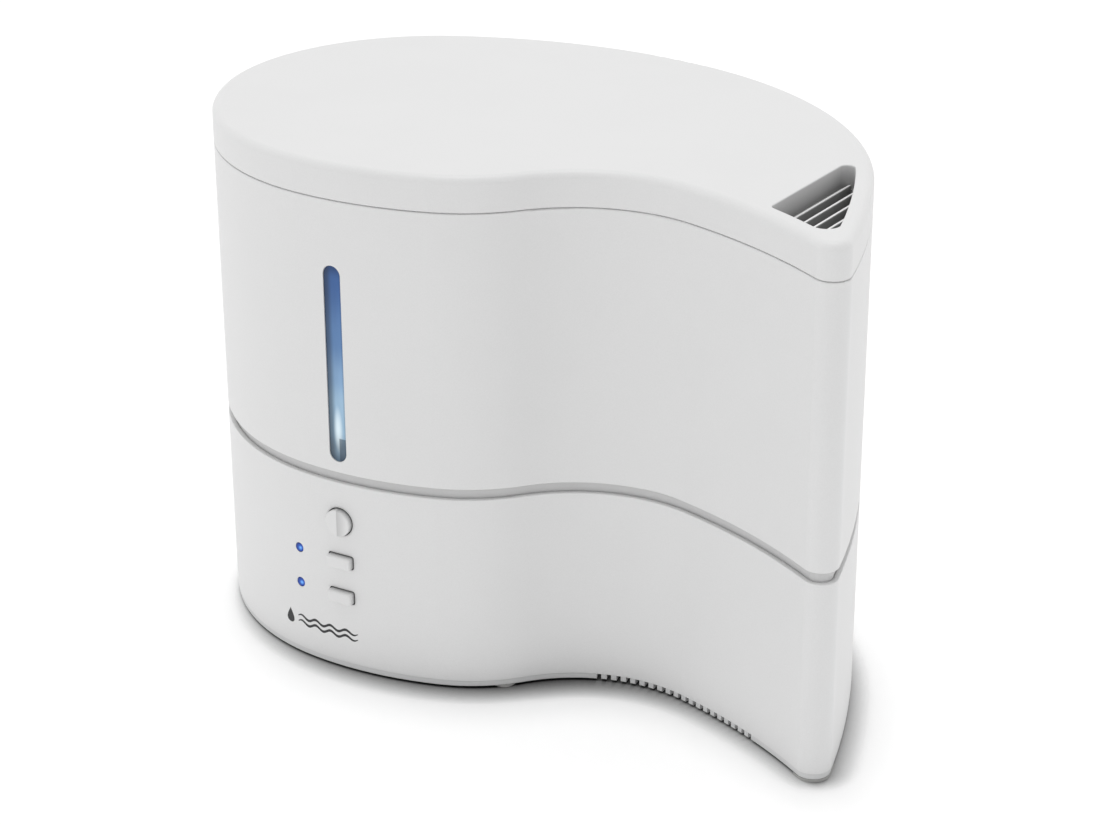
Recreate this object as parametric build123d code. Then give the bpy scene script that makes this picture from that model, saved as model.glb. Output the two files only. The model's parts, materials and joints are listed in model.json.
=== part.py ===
"""Cool mist humidifier: base with controls, lift-off water tank and lift-off lid.

Millimetres. +Z is up and z = 0 is the surface the feet stand on. The origin is the
bottom centre of the bounding box. +X runs from the round head to the tail, +Y to the
back, so the controls and the concave wall face -Y.
"""
import os
from math import atan2, cos, degrees, radians, sin, sqrt

from build123d import *

# ---- plan outline: tangent arcs, clockwise from above -------------------------------
# Each arc has a radius (negative where the wall is concave) and the direction of its
# outward normal, in degrees, where it starts. Two radii are solved so that it closes.
ARC_RADIUS = {
    "front_left": 157.9, "left": 112.2, "back_left": 100.2, "back": None,
    "back_right": None, "flank": 474.5, "tip": 8.2, "sweep": -276.0,
    "waist": -69.4, "shoulder": 73.3,
}
ARC_START = {
    "front_left": 283.0, "left": 258.9, "back_left": 191.0, "back": 109.8,
    "back_right": 71.8, "flank": 18.5, "tip": 8.9, "sweep": -126.7,
    "waist": -109.8, "shoulder": -45.2,
}
FULL_TURN = 360.0

# ---- levels -------------------------------------------------------------------------
HEIGHT = 250.0
FOOT_HEIGHT = 1.2
PLATE_RIM_TOP = 3.9
PLATE_TOP = 5.4
HOUSING_BOTTOM = 4.1
BASE_TOP = 96.9
TANK_LOW = 102.0
TANK_FLOOR = 106.0
TANK_FLOOR_TOP = 109.0
TANK_CEILING = 229.0
TANK_CEILING_TOP = 232.0
TANK_RIM = 233.1
LID_SKIRT = 233.6
LID_CEILING = 247.0

# ---- walls --------------------------------------------------------------------------
WALL = 2.4
COLLAR_INSET = 2.6
COLLAR_WALL = 2.2
SKIRT_INSET = 1.6
GLUE_GAP = 0.1
LID_EDGE = 3.6
RIM_EDGE = 0.5
RIB_INSET = 3.8

# ---- mist outlet --------------------------------------------------------------------
OUTLET_INSET = 8.2
OUTLET_LINE = (129.6, -76.3)
OUTLET_LINE_ANGLE = 82.7
OUTLET_CORNERS = {"tip": 6.0, "front": 3.2, "back": 3.4}
DUCT_WALL = 2.0
SHAFT_LOW = 236.5
DUCT_LOW = 99.0
DUCT_TOP = 234.0
FIN_COUNT = 5
FIN_PITCH = 6.13
FIN_FIRST = 3.3
FIN_THICK = 1.0
FIN_TOP = 241.0

# ---- control panel ------------------------------------------------------------------
PANEL_NORMAL = 265.8
CONTROL_X = -0.5
KNOB_Z, KNOB_RADIUS, KNOB_GAP = 77.1, 6.6, 0.5
GRIP_HEIGHT, GRIP_EDGE = 2.6, 0.6
KNOB_FACE = -0.6
SCOOP_RADIUS = 4.6
CAP_BACK = -6.0
BUTTON_Z = {"upper": 57.0, "lower": 38.9}
BUTTON_SIZE = (12.8, 6.0)
BUTTON_PROUD, BUTTON_GAP = 3.2, 0.5
BUTTON_EDGE = 0.9
BUTTON_FLANGE = (16.6, 9.4)
SHAFT_RADIUS = 3.0
FRONT_PROUD = 1.6  # how far the dial stands in front of the outline's box
LED_X = -25.3
LED_RADIUS = 2.35
LED_FACE = -1.9
WINDOW_Z = (107.5, 202.7)
WINDOW_WIDTH = 9.2
BOARD_DEPTH = 20.0
BOARD_THICK = 1.6

# ---- intake slots -------------------------------------------------------------------
SLOT_COUNT = 20
SLOT_PITCH = 4.65
SLOT_WIDTH = 2.1
SLOT_START = -43.1

# ---- base interior ------------------------------------------------------------------
DECK_LOW = 94.0
BASIN_LINE = (8.0, 0.0)
BASIN_INSET = 9.5
BASIN_CORNERS = {"tip": 7.0, "front": 8.0, "back": 8.0}
BASIN_WALL = 2.2
BASIN_FLOOR = 58.2
BASIN_UNDER = 56.0
FAN_PLACE = (88.0, 5.0)
FAN_SIZE, FAN_LOW, FAN_HEIGHT = 60.0, 14.0, 15.0
STACK_RADIUS = 15.0
CAP_PLACE = (40.0, 8.0)
MIST_PLACE = (142.0, -50.0)
FLOAT_PLACE = (112.0, -42.0)
LAMP_DEPTH = 14.0
INLET_NORMAL = 90.0
INLET_Z = 24.0
TRANSFORMER_PLACE = (-95.0, 25.0)
POWER_PLACE = (-30.0, 18.0)
POWER_SIZE = (64.0, 82.0)
DRIVER_PLACE = (134.0, -52.0)
BOSS_PLACES = [("front_left", 276.0), ("left", 214.0), ("back_left", 150.0),
               ("back", 104.0), ("back_right", 42.0), ("sweep", -121.0)]
BOSS_INSET, BOSS_RADIUS = 6.2, 4.2
FOOT_PLACES = [("shoulder", -52.0), ("left", 232.0), ("back_left", 130.0),
               ("back_right", 55.0)]
FOOT_INSETS = {"shoulder": 6.2, "left": 12.0, "back_left": 12.0, "back_right": 12.0}
FOOT_RADIUS = 6.0

# ---- filler cap and valve -----------------------------------------------------------
NECK_RADIUS = 23.5
NECK_WALL = 3.5
NECK_LOW = 98.0
CAP_RADIUS = 28.0
CAP_LOW = 90.0
CAP_TOP = 105.6
VALVE_LIFT = 4.0
STEM_RADIUS = 2.5
STEM_LOW = 80.0
SHAFT_CLEARANCE = 0.06


# ---- helpers ------------------------------------------------------------------------
def unit(angle):
    """Unit vector in the plan at an angle in degrees."""
    return Vector(cos(radians(angle)), sin(radians(angle)))


def close_outline():
    """Radii of every arc, with the two free ones solved so that the loop closes."""
    names = list(ARC_RADIUS)
    starts = [ARC_START[name] for name in names]
    ends = starts[1:] + [starts[0] - FULL_TURN]
    chords = {n: unit(b) - unit(a) for n, a, b in zip(names, starts, ends)}
    rest = Vector(0, 0)
    for name, radius in ARC_RADIUS.items():
        if radius is not None:
            rest = rest + chords[name] * radius
    a, b = chords["back"], chords["back_right"]
    det = a.X * b.Y - a.Y * b.X
    radii = dict(ARC_RADIUS)
    radii["back"] = (b.X * rest.Y - b.Y * rest.X) / det
    radii["back_right"] = (a.Y * rest.X - a.X * rest.Y) / det
    spans = {n: (s, e) for n, s, e in zip(names, starts, ends)}
    return radii, spans


RADII, SPANS = close_outline()


def arc_centres():
    """Centre of every arc, before the outline is moved to its bounding-box centre."""
    names = list(RADII)
    centres = {names[0]: Vector(0, 0)}
    for before, name in zip(names, names[1:]):
        shift = unit(SPANS[name][0]) * (RADII[before] - RADII[name])
        centres[name] = centres[before] + shift
    return centres


CENTRES = arc_centres()


def circle_meeting(first, second, inset):
    """Where two inset arcs' circles cross, on the tail's tip side."""
    c1, r1 = CENTRES[first], abs(RADII[first] - inset)
    c2, r2 = CENTRES[second], abs(RADII[second] - inset)
    gap = c2 - c1
    dist = gap.length
    along = (dist ** 2 + r1 ** 2 - r2 ** 2) / (2 * dist)
    across = sqrt(r1 ** 2 - along ** 2)
    side = Vector(-gap.Y, gap.X) * (across / dist)
    foot = c1 + gap * (along / dist)
    tip = CENTRES["tip"]
    return min((foot + side, foot - side), key=lambda p: (p - tip).length)


def arc_edge(name, inset, start=None, end=None):
    """One arc of the outline, moved inwards by inset."""
    centre, radius = CENTRES[name], RADII[name] - inset
    a = SPANS[name][0] if start is None else start
    b = SPANS[name][1] if end is None else end
    mid = (a + b) / 2
    return ThreePointArc(*(centre + unit(t) * radius for t in (a, mid, b)))


def normal_at(name, point, inset):
    """Outward normal angle of a point on an inset arc."""
    out = (point - CENTRES[name]) * (1 / (RADII[name] - inset))
    angle = degrees(atan2(out.Y, out.X))
    middle = sum(SPANS[name]) / 2
    return angle + FULL_TURN * round((middle - angle) / FULL_TURN)


def plan_outline(inset, sharp_tip=False):
    """Face inside the outline moved inwards by inset; a deep inset has a sharp tip."""
    edges = []
    sharp = sharp_tip or inset > RADII["tip"] - RIM_EDGE
    meet = circle_meeting("flank", "sweep", inset) if sharp else None
    for name in RADII:
        if sharp and name == "tip":
            continue
        start = end = None
        if sharp and name == "flank":
            end = normal_at("flank", meet, inset)
        if sharp and name == "sweep":
            start = normal_at("sweep", meet, inset)
        edges.append(arc_edge(name, inset, start, end))
    return Face(Wire(edges))


def centre_outline():
    """Move the arcs so that the whole object's box, knob included, is centred."""
    box = plan_outline(0).bounding_box()
    middle = Vector(box.center().X, box.center().Y - FRONT_PROUD / 2)
    for name in CENTRES:
        CENTRES[name] = CENTRES[name] - middle


centre_outline()


def plan_point(name, angle, inset):
    """Point on an inset arc at an outward normal angle."""
    return CENTRES[name] + unit(angle) * (RADII[name] - inset)


def slab(face, low, high):
    """Upright prism of a plan face between two levels."""
    return Pos(0, 0, low) * extrude(face, high - low, dir=(0, 0, 1))


def plan_slab(inset, low, high):
    """Solid that fills the inset outline between two levels."""
    return slab(plan_outline(inset), low, high)


def plan_ring(outer, inner, low, high):
    """Wall between two insets of the outline."""
    return plan_slab(outer, low, high) - plan_slab(inner, low, high)


def post(place, radius, low, high):
    """Upright cylinder at a plan position."""
    bottom_up = (Align.CENTER, Align.CENTER, Align.MIN)
    return Pos(place[0], place[1], low) * Cylinder(radius, high - low, align=bottom_up)


def tube(place, outer, inner, low, high):
    """Upright tube at a plan position."""
    return post(place, outer, low, high) - post(place, inner, low, high)


def block(centre, size, low, high, turn=0.0):
    """Upright box at a plan position."""
    box = Box(size[0], size[1], high - low)
    return Pos(centre[0], centre[1], (low + high) / 2) * Rot(0, 0, turn) * box


def upright(shape):
    """Vertical edges of a shape."""
    return shape.edges().filter_by(Axis.Z)


def tail_prism(inset, line, line_angle, corners, low, high):
    """Prism of the tail beyond a straight line, with its three corners rounded."""
    across = unit(line_angle - 90)
    reach = 300.0
    start = Vector(*line)
    middle = start + across * (reach / 2)
    keep = block((middle.X, middle.Y), (reach, 2 * reach), low, high, line_angle - 90)
    body = slab(plan_outline(inset, sharp_tip=True), low, high) & keep
    body = fillet(upright(body).sort_by(Axis.Y)[0], corners["tip"])
    for which, pick in (("front", 0), ("back", -1)):
        on_line = [e for e in upright(body) if abs((e.center() - start).dot(across)) < 0.01]
        corner = ShapeList(on_line).sort_by(Axis.Y)[pick]
        body = fillet(corner, corners[which])
    return body


def outlet_prism(grow, low, high):
    """The mist outlet's section, grown outwards by an amount."""
    start = Vector(*OUTLET_LINE) - unit(OUTLET_LINE_ANGLE - 90) * grow
    corners = {name: radius + grow for name, radius in OUTLET_CORNERS.items()}
    inset = OUTLET_INSET - grow
    return tail_prism(inset, (start.X, start.Y), OUTLET_LINE_ANGLE, corners, low, high)


def basin_prism(grow, low, high):
    """The water basin's section, grown outwards by an amount."""
    corners = {name: radius + grow for name, radius in BASIN_CORNERS.items()}
    line = (BASIN_LINE[0] - grow, BASIN_LINE[1])
    return tail_prism(BASIN_INSET - grow, line, 90.0, corners, low, high)


def wall_plane(name, angle):
    """Plane on the wall: x to the right seen from outside, y up, z outwards."""
    out = unit(angle)
    place = plan_point(name, angle, 0)
    return Plane(origin=place, x_dir=Vector(-out.Y, out.X), z_dir=out)


PANEL = wall_plane("front_left", PANEL_NORMAL)
REAR = wall_plane("back", INLET_NORMAL)


def rod_out(plane, x, z, radius, deep, shallow):
    """Cylinder along a wall plane's normal, between two distances from the wall."""
    middle = (deep + shallow) / 2
    return plane * Pos(x, z, middle) * Cylinder(radius, shallow - deep)


def pad_out(plane, x, z, size, corner, deep, shallow):
    """Rounded block along a wall plane's normal, between two distances."""
    sketch = RectangleRounded(size[0], size[1], corner)
    return plane * Pos(x, z, deep) * extrude(sketch, shallow - deep)


def panel_place(depth):
    """Plan position straight behind the control column."""
    place = plan_point("front_left", PANEL_NORMAL, depth)
    return (place.X, place.Y)


def top_edges(shape, level):
    """Edges of a shape that lie wholly at one level."""
    edges = []
    for edge in shape.edges():
        box = edge.bounding_box()
        if abs(box.min.Z - level) < 1e-4 and abs(box.max.Z - level) < 1e-4:
            edges.append(edge)
    return ShapeList(edges)


# ---- lid ----------------------------------------------------------------------------
def make_lid():
    """Cover with a rounded top edge, a locating rib and the outlet's shaft."""
    outer = plan_slab(0, LID_SKIRT, HEIGHT)
    outer = fillet(top_edges(outer, HEIGHT), LID_EDGE)
    outer = fillet(top_edges(outer, LID_SKIRT), RIM_EDGE)
    lid = outer - plan_slab(WALL, LID_SKIRT - 1, LID_CEILING)
    lid += plan_ring(1.2, RIB_INSET, TANK_RIM, LID_SKIRT + 2.5)
    lid += plan_ring(WALL - 0.2, RIB_INSET, LID_SKIRT + 2.5, LID_CEILING)
    lid += outlet_prism(DUCT_WALL, SHAFT_LOW, LID_CEILING)
    lid -= outlet_prism(0, SHAFT_LOW - 1, HEIGHT + 1)
    return fillet(top_edges(lid, HEIGHT), 0.6)


def make_outlet_grille():
    """Louvre insert: a flange under the shaft and thin upright fins inside it."""
    flange_low = SHAFT_LOW - 2.0
    flange = outlet_prism(DUCT_WALL, flange_low, SHAFT_LOW)
    frame = outlet_prism(-GLUE_GAP, SHAFT_LOW, SHAFT_LOW + 3)
    grille = flange + frame - outlet_prism(-1.0, flange_low - 1, FIN_TOP + 1)
    across = unit(OUTLET_LINE_ANGLE - 90)
    fins = []
    for number in range(FIN_COUNT):
        distance = FIN_FIRST + number * FIN_PITCH
        middle = Vector(*OUTLET_LINE) + across * distance
        fins.append(block((middle.X, middle.Y), (FIN_THICK, 200.0), flange_low,
                          FIN_TOP, OUTLET_LINE_ANGLE - 90))
    inside = outlet_prism(-GLUE_GAP, flange_low, FIN_TOP)
    for fin in fins:
        grille += fin & inside
    return grille


# ---- tank ---------------------------------------------------------------------------
def window_slot(grow, deep, shallow):
    """The level window's rounded slot through the tank's front wall."""
    length = WINDOW_Z[1] - WINDOW_Z[0] + 2 * grow
    width = WINDOW_WIDTH + 2 * grow
    sketch = SlotOverall(length, width, rotation=90)
    middle = sum(WINDOW_Z) / 2
    return PANEL * Pos(0, middle, deep) * extrude(sketch, shallow - deep)


def make_tank_shell():
    """Outer wall of the tank, with the window slot and two ribs for floor and top."""
    outer = plan_slab(0, TANK_LOW, TANK_RIM)
    outer = fillet(top_edges(outer, TANK_RIM), RIM_EDGE)
    outer = fillet(top_edges(outer, TANK_LOW), RIM_EDGE)
    shell = outer - plan_slab(WALL, TANK_LOW - 1, TANK_RIM + 1)
    shell -= plan_slab(SKIRT_INSET, TANK_LOW - 1, TANK_FLOOR + 0.3)
    ribs = plan_ring(WALL - 0.2, RIB_INSET, TANK_FLOOR_TOP, TANK_FLOOR_TOP + 2)
    rib_gap = pad_out(PANEL, 0, TANK_FLOOR_TOP, (26.0, 8.0), 1.0, -12.0, -WALL)
    shell += ribs - rib_gap
    shell += plan_ring(WALL - 0.2, RIB_INSET, TANK_CEILING - 2, TANK_CEILING)
    return shell - window_slot(0, -12, 6)


def make_window_lens():
    """Clear window: a slot-shaped plug and a wider flange behind the wall."""
    plug = plan_ring(0.5, WALL + 0.05, *WINDOW_Z) & window_slot(-GLUE_GAP, -12, 6)
    low, high = TANK_FLOOR_TOP + 0.2, WINDOW_Z[1] + 4
    flange = plan_ring(WALL + 0.05, RIB_INSET, low, high) & window_slot(4.0, -12, 6)
    return plug + flange


def make_tank_top():
    """Closed top of the tank with a sunk carrying grip and a rim for the lid."""
    top = plan_slab(WALL + GLUE_GAP, TANK_CEILING, TANK_CEILING_TOP)
    top += plan_ring(RIB_INSET + 0.6, RIB_INSET + 2.2, TANK_CEILING_TOP, TANK_CEILING_TOP + 6)
    well_size, well_low, wall = (112.0, 86.0), 201.0, 2.2
    centre = (-55.0, 2.0)
    outer = block(centre, [s + 2 * wall for s in well_size], well_low - wall, TANK_CEILING_TOP)
    top += fillet(upright(outer), 12 + wall)
    inner = block(centre, well_size, well_low, TANK_CEILING_TOP + 1)
    top -= fillet(upright(inner), 12)
    bar = block(centre, (well_size[0] + wall, 24.0), 218.0, TANK_CEILING_TOP)
    bar = fillet(bar.edges().filter_by(Axis.X), 5.0)
    top += bar
    return top - outlet_prism(DUCT_WALL + GLUE_GAP, TANK_CEILING - 1, TANK_CEILING_TOP + 7)


def neck_lugs(inner, outer, low, high, span, first):
    """Three bayonet lugs round the filler neck."""
    ring = tube(CAP_PLACE, outer, inner, low, high)
    reach = outer + 5
    lugs = None
    for number in range(3):
        middle = first + 120 * number
        points = [(0, 0)]
        points += [(reach * cos(radians(a)), reach * sin(radians(a)))
                   for a in (middle - span / 2, middle, middle + span / 2)]
        wedge = extrude(make_face(Polyline(points, close=True)), high - low)
        lug = ring & (Pos(CAP_PLACE[0], CAP_PLACE[1], low) * wedge)
        lugs = lug if lugs is None else lugs + lug
    return lugs


def make_tank_bottom():
    """Floor of the tank with the filler neck and the holes for duct and light lens."""
    floor = plan_slab(WALL + GLUE_GAP, TANK_FLOOR, TANK_FLOOR_TOP)
    floor += post(CAP_PLACE, NECK_RADIUS, NECK_LOW, TANK_FLOOR)
    floor -= post(CAP_PLACE, NECK_RADIUS - NECK_WALL, NECK_LOW - 1, TANK_FLOOR_TOP + 1)
    floor += neck_lugs(NECK_RADIUS - 0.5, NECK_RADIUS + 2.2, 101.4, 103.8, 44, 90)
    floor -= outlet_prism(DUCT_WALL + GLUE_GAP, TANK_FLOOR - 1, TANK_FLOOR_TOP + 1)
    return floor - post(panel_place(LAMP_DEPTH), 7.0 + GLUE_GAP, TANK_FLOOR - 1, TANK_FLOOR_TOP + 1)


def make_mist_duct():
    """Chimney through the tank with a glue flange on the floor."""
    duct = outlet_prism(DUCT_WALL, DUCT_LOW, DUCT_TOP)
    duct += outlet_prism(DUCT_WALL + 2, TANK_FLOOR_TOP, TANK_FLOOR_TOP + 2)
    return duct - outlet_prism(0, DUCT_LOW - 1, DUCT_TOP + 1)


def make_light_lens():
    """Clear cup in the tank's floor over the lamp."""
    place = panel_place(LAMP_DEPTH)
    cup = post(place, 7.0, 104.0, 120.0)
    cup = fillet(top_edges(cup, 120.0), 4.0)
    cup += post(place, 9.2, TANK_FLOOR_TOP, TANK_FLOOR_TOP + 1.6)
    return cup - post(place, 5.2, 103.0, 117.0)


# ---- filler cap and valve -----------------------------------------------------------
def make_tank_cap():
    """Quarter-turn cap with grip ribs, bayonet lugs and the valve's guide."""
    cap = post(CAP_PLACE, CAP_RADIUS, CAP_LOW, CAP_TOP)
    cap = fillet(top_edges(cap, CAP_LOW), 1.5)
    cap -= post(CAP_PLACE, NECK_RADIUS + 2.8, CAP_LOW + 3, CAP_TOP + 1)
    cap += neck_lugs(NECK_RADIUS + 0.5, NECK_RADIUS + 3.0, 97.6, 100.6, 40, 90)
    grip_count = 18
    for number in range(grip_count):
        out = unit(FULL_TURN * number / grip_count) * CAP_RADIUS
        rib = post((CAP_PLACE[0] + out.X, CAP_PLACE[1] + out.Y), 1.0, CAP_LOW + 2, CAP_TOP - 1)
        cap += rib
    cap -= post(CAP_PLACE, 8.0, CAP_LOW - 1, CAP_LOW + 4)
    guide = tube(CAP_PLACE, 4.6, STEM_RADIUS + SHAFT_CLEARANCE, CAP_LOW, CAP_LOW + 3)
    spokes = None
    for angle in (0, 120, 240):
        out = unit(angle) * 6.2
        spoke = block((CAP_PLACE[0] + out.X, CAP_PLACE[1] + out.Y), (5.0, 1.6),
                      CAP_LOW, CAP_LOW + 2.4, angle)
        spokes = spoke if spokes is None else spokes + spoke
    return cap + guide + spokes


def make_cap_seal():
    """Rubber ring between the cap's floor and the neck."""
    return tube(CAP_PLACE, NECK_RADIUS - 0.1, NECK_RADIUS - NECK_WALL + 0.3, CAP_LOW + 3, NECK_LOW)


def make_valve_plunger():
    """Stem with the valve disc at its top and the spring's button at its foot."""
    disc_low = CAP_LOW + 3 + 1.6 + VALVE_LIFT
    stem = post(CAP_PLACE, STEM_RADIUS, STEM_LOW, disc_low + 1)
    disc = post(CAP_PLACE, 11.0, disc_low, disc_low + 2)
    disc = fillet(top_edges(disc, disc_low + 2), 0.8)
    return stem + disc + post(CAP_PLACE, 4.8, STEM_LOW, STEM_LOW + 1.6)


def make_valve_washer():
    """Rubber ring under the valve disc."""
    disc_low = CAP_LOW + 3 + 1.6 + VALVE_LIFT
    return tube(CAP_PLACE, 10.4, 6.0, disc_low - 1.4, disc_low)


def make_valve_spring():
    """Coil spring between the stem's button and the cap's guide."""
    low, high = STEM_LOW + 1.6, CAP_LOW
    wire = 0.35
    turns = 4
    span = high - low - 2 * wire
    path = Helix(pitch=span / turns, height=span, radius=3.7)
    section = Plane(origin=path @ 0, z_dir=path % 0) * Circle(wire)
    coil = sweep(section, path=path, is_frenet=True)
    return Pos(CAP_PLACE[0], CAP_PLACE[1], low + wire) * coil


# ---- base: housing, plate and feet --------------------------------------------------
def slot_frame(distance, inset):
    """Point and normal on the concave wall, by distance from the waist's end."""
    name = "waist" if distance < 0 else "sweep"
    angle = ARC_START["waist"] + degrees(distance / RADII[name])
    return plan_point(name, angle, inset), angle


def intake_slots(deep, high):
    """Row of narrow notches in the plate's rim, at the foot of the concave wall."""
    slots = []
    for number in range(SLOT_COUNT):
        place, angle = slot_frame(SLOT_START + number * SLOT_PITCH, deep / 2 - 1)
        slots.append(block((place.X, place.Y), (deep + 2, SLOT_WIDTH), 0, high, angle))
    return slots


def control_openings():
    """Openings for knob, buttons and indicators in the housing's front."""
    cuts = [rod_out(PANEL, CONTROL_X, KNOB_Z, KNOB_RADIUS + KNOB_GAP, -12, 6)]
    for level in BUTTON_Z.values():
        size = [side + 2 * BUTTON_GAP for side in BUTTON_SIZE]
        cuts.append(pad_out(PANEL, CONTROL_X, level, size, 1.2, -12, 6))
        cuts.append(rod_out(PANEL, LED_X, level, LED_RADIUS + GLUE_GAP, -12, 6))
    return cuts


def boss_places():
    """Plan positions of the case screws' bosses."""
    points = [plan_point(name, angle, BOSS_INSET) for name, angle in BOSS_PLACES]
    return [(p.X, p.Y) for p in points]


def board_corners():
    """Corners of the control board's four posts, in the panel's plane."""
    return [(x, z) for x in (-33.0, 11.0) for z in (31.0, 85.0)]


def make_base_housing():
    """Outer wall of the base with its ledge, bosses and openings."""
    outer = plan_slab(0, HOUSING_BOTTOM, BASE_TOP)
    outer = fillet(top_edges(outer, BASE_TOP), RIM_EDGE)
    housing = outer - plan_slab(WALL, HOUSING_BOTTOM - 1, BASE_TOP + 1)
    housing += plan_ring(WALL - 0.2, 5.0, DECK_LOW - 3, DECK_LOW)
    inside = plan_slab(0.8, HOUSING_BOTTOM, BASE_TOP)
    for place in boss_places():
        housing += post(place, BOSS_RADIUS, PLATE_TOP, 34.0) & inside
        housing -= post(place, 1.6, PLATE_TOP - 1, 24.0)
    for x, z in board_corners():
        housing += rod_out(PANEL, x, z, 2.6, -BOARD_DEPTH + BOARD_THICK, 4) & inside
    for cut in control_openings():
        housing -= cut
    housing -= pad_out(REAR, 0, INLET_Z, (22.4, 12.4), 2.0, -12, 6)
    return housing


def fan_corners(half):
    """Corner positions round the fan's centre."""
    return [(FAN_PLACE[0] + i * half, FAN_PLACE[1] + j * half) for i in (-1, 1) for j in (-1, 1)]


def power_corners():
    """Corner positions of the power board's posts."""
    half = [side / 2 - 5 for side in POWER_SIZE]
    return [(POWER_PLACE[0] + i * half[0], POWER_PLACE[1] + j * half[1])
            for i in (-1, 1) for j in (-1, 1)]


def make_bottom_plate():
    """Closes the base: thin rim outside, thicker floor inside, posts for the parts."""
    plate = plan_slab(0.25, FOOT_HEIGHT, PLATE_RIM_TOP)
    plate = fillet(top_edges(plate, FOOT_HEIGHT), RIM_EDGE)
    plate += plan_slab(WALL + 0.4, PLATE_RIM_TOP, PLATE_TOP)
    for place in fan_corners(25.0):
        plate += post(place, 3.4, PLATE_TOP, FAN_LOW)
    for place in power_corners():
        plate += post(place, 3.0, PLATE_TOP, 12.0)
    for place in boss_places():
        plate -= post(place, 3.3, FOOT_HEIGHT - 1, 3.0)
        plate -= post(place, 1.7, FOOT_HEIGHT - 1, PLATE_TOP + 1)
    for slot in intake_slots(9.0, PLATE_TOP + 1):
        plate -= slot
    return plate


def make_feet():
    """Five soft pads: four round ones and one that follows the tail's tip."""
    pads = []
    for name, angle in FOOT_PLACES:
        place = plan_point(name, angle, FOOT_INSETS[name])
        pads.append(post((place.X, place.Y), FOOT_RADIUS, 0, FOOT_HEIGHT))
    tip = plan_slab(0.1, 0, FOOT_HEIGHT)
    pads.append(tip & block((176.0, -110.0), (34.0, 40.0), 0, FOOT_HEIGHT, 0))
    return pads


def make_case_screws():
    """Six screws that hold the bottom plate."""
    screws = []
    for place in boss_places():
        screw = post(place, 3.1, FOOT_HEIGHT + 0.2, 3.0) + post(place, 1.5, 3.0, 18.0)
        cross = block(place, (4.0, 0.9), FOOT_HEIGHT, FOOT_HEIGHT + 1.2, 20)
        cross += block(place, (0.9, 4.0), FOOT_HEIGHT, FOOT_HEIGHT + 1.2, 20)
        screws.append(screw - cross)
    return screws


# ---- base: water tray ---------------------------------------------------------------
def make_water_tray():
    """Deck with the collar round the tank, the basin, air stack and valve post."""
    tray = plan_slab(COLLAR_INSET, DECK_LOW, BASE_TOP)
    tray += plan_ring(COLLAR_INSET, COLLAR_INSET + COLLAR_WALL, BASE_TOP, TANK_FLOOR)
    tray += basin_prism(BASIN_WALL, BASIN_UNDER, BASE_TOP)
    tray -= basin_prism(0, BASIN_FLOOR, BASE_TOP + 1)
    tray += post(FAN_PLACE, STACK_RADIUS, BASIN_UNDER, 100.0)
    tray -= post(FAN_PLACE, STACK_RADIUS - 2, BASIN_UNDER - 1, 101.0)
    tray += post(CAP_PLACE, 5.0, BASIN_UNDER, STEM_LOW - 0.3)
    tray -= post(MIST_PLACE, 9.0, BASIN_UNDER - 1, BASIN_FLOOR + 1)
    return tray - post(panel_place(LAMP_DEPTH), 4.1, DECK_LOW - 1, BASE_TOP + 1)


def make_float_post():
    """Post with the reed switch and a clip that keeps the float on."""
    low = post(FLOAT_PLACE, 4.0, BASIN_FLOOR, 92.0)
    clip = post(FLOAT_PLACE, 6.4, 92.0, 94.0)
    return low + fillet(top_edges(clip, 94.0), 0.8)


def make_float():
    """Ring float that lies on the basin's floor when it is dry."""
    ring = tube(FLOAT_PLACE, 11.0, 4.6, BASIN_FLOOR + 0.4, 74.0)
    outer = [e for e in top_edges(ring, 74.0) if e.radius > 6]
    return fillet(ShapeList(outer), 1.5)


def make_tank_lamp():
    """Blue lamp with a domed top, clipped into the deck."""
    place = panel_place(LAMP_DEPTH)
    lamp = post(place, 4.0, DECK_LOW, 98.0) + Pos(place[0], place[1], 98.0) * Sphere(4.0)
    return lamp + post(place, 6.0, DECK_LOW - 2.5, DECK_LOW)


# ---- base: mist maker ---------------------------------------------------------------
def make_transducer():
    """Ceramic disc with its raised electrode."""
    return post(MIST_PLACE, 10.0, 50.0, 51.2) + post(MIST_PLACE, 5.0, 51.2, 51.5)


def make_transducer_seal():
    """Grooved rubber ring that grips the disc."""
    seal = tube(MIST_PLACE, 11.4, 8.6, 48.0, BASIN_UNDER)
    return seal - post(MIST_PLACE, 10.05, 50.0, 51.2)


def make_transducer_holder():
    """Housing that clamps the seal up against the tray, with two board posts."""
    holder = tube(MIST_PLACE, 15.8, 8.2, 42.0, BASIN_UNDER)
    holder -= post(MIST_PLACE, 11.5, 48.0, BASIN_UNDER + 1)
    for shift in (-11.8, 11.8):
        holder += post((MIST_PLACE[0] - 2, MIST_PLACE[1] + shift), 2.6, 31.6, 44.0)
    return holder


def make_driver_board():
    """Oscillator board under the transducer."""
    return block(DRIVER_PLACE, (40.0, 38.0), 30.0, 31.6)


def make_driver_parts():
    """Coil and capacitors on the driver board."""
    x, y = DRIVER_PLACE
    return [post((x - 13, y - 11), 5.0, 31.6, 40.0), post((x - 13, y + 2), 4.0, 31.6, 44.0),
            post((x - 13, y + 13), 3.2, 31.6, 42.0)]


def make_heat_sink():
    """Aluminium block with upright fins, under the driver board."""
    sink = block(DRIVER_PLACE, (34.0, 30.0), 26.5, 30.0)
    for number in range(7):
        x = DRIVER_PLACE[0] - 15.9 + 5.3 * number
        sink += block((x, DRIVER_PLACE[1]), (1.6, 30.0), 14.0, 26.5)
    return sink


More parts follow.
